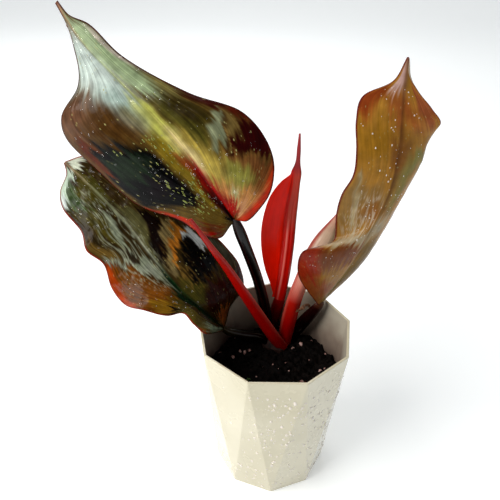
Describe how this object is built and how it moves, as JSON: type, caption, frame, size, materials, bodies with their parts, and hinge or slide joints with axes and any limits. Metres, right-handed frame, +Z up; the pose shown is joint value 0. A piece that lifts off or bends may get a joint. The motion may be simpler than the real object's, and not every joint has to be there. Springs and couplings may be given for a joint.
{
  "type": "potted red heart philodendron",
  "caption": "Young philodendron with broad olive and burgundy leaves and a rolled red new leaf, in a faceted pale plastic pot filled with dark soil.",
  "frame": {"origin": "middle of the pot's underside, on the surface that it stands on", "axes": "+Z up, -Y towards the side that the leaves face, +X to the right leaf"},
  "size_m": [0.2889, 0.1576, 0.3682],
  "materials": {
    "pot": "glossy moulded",
    "soil": "damp, rough",
    "crown": "matt",
    "sheath": "satin",
    "dark_stalk": "glossy",
    "red_stalk": "satin",
    "upper_blade": "glossy, waxy",
    "low_blade": "glossy, waxy",
    "right_blade": "satin, waxy",
    "new_blade": "satin"
  },
  "bodies": {
    "root": {"pot": "pot", "soil": "soil", "stem_crown": "crown", "left_sheath": "sheath", "right_sheath": "sheath", "upper_leaf_stalk": "dark_stalk", "right_leaf_stalk": "dark_stalk", "new_leaf_stalk": "red_stalk", "low_leaf_stalk": "dark_stalk", "upper_leaf_blade": "upper_blade", "low_leaf_blade": "low_blade", "right_leaf_blade": "right_blade", "new_leaf": "new_blade"}
  },
  "joints": []
}
